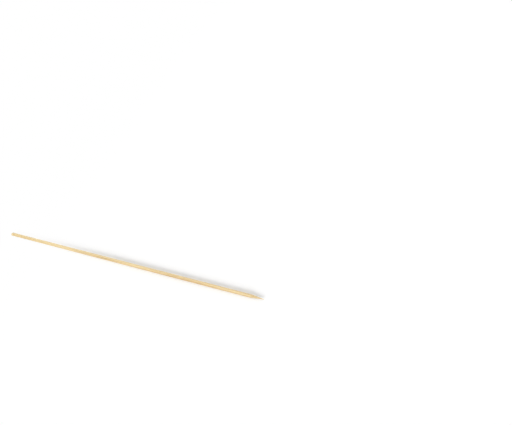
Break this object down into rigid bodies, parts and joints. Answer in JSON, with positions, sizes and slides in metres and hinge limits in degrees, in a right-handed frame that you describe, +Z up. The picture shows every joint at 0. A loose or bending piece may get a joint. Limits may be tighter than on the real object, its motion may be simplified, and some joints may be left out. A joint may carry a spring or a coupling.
{
  "type": "bamboo skewer",
  "caption": "Straight round bamboo stick with a flat blunt end and a ground conical point, for threading and holding food.",
  "frame": {"origin": "middle of the flat face at the blunt end", "axes": "+X along the stick's axis from the blunt end to the tip, +Z up as the stick lies on a table, +Y across it"},
  "size_m": [0.25, 0.003, 0.003],
  "materials": {
    "bamboo": "satin"
  },
  "bodies": {
    "root": {"bamboo_stick": "bamboo"}
  },
  "joints": []
}
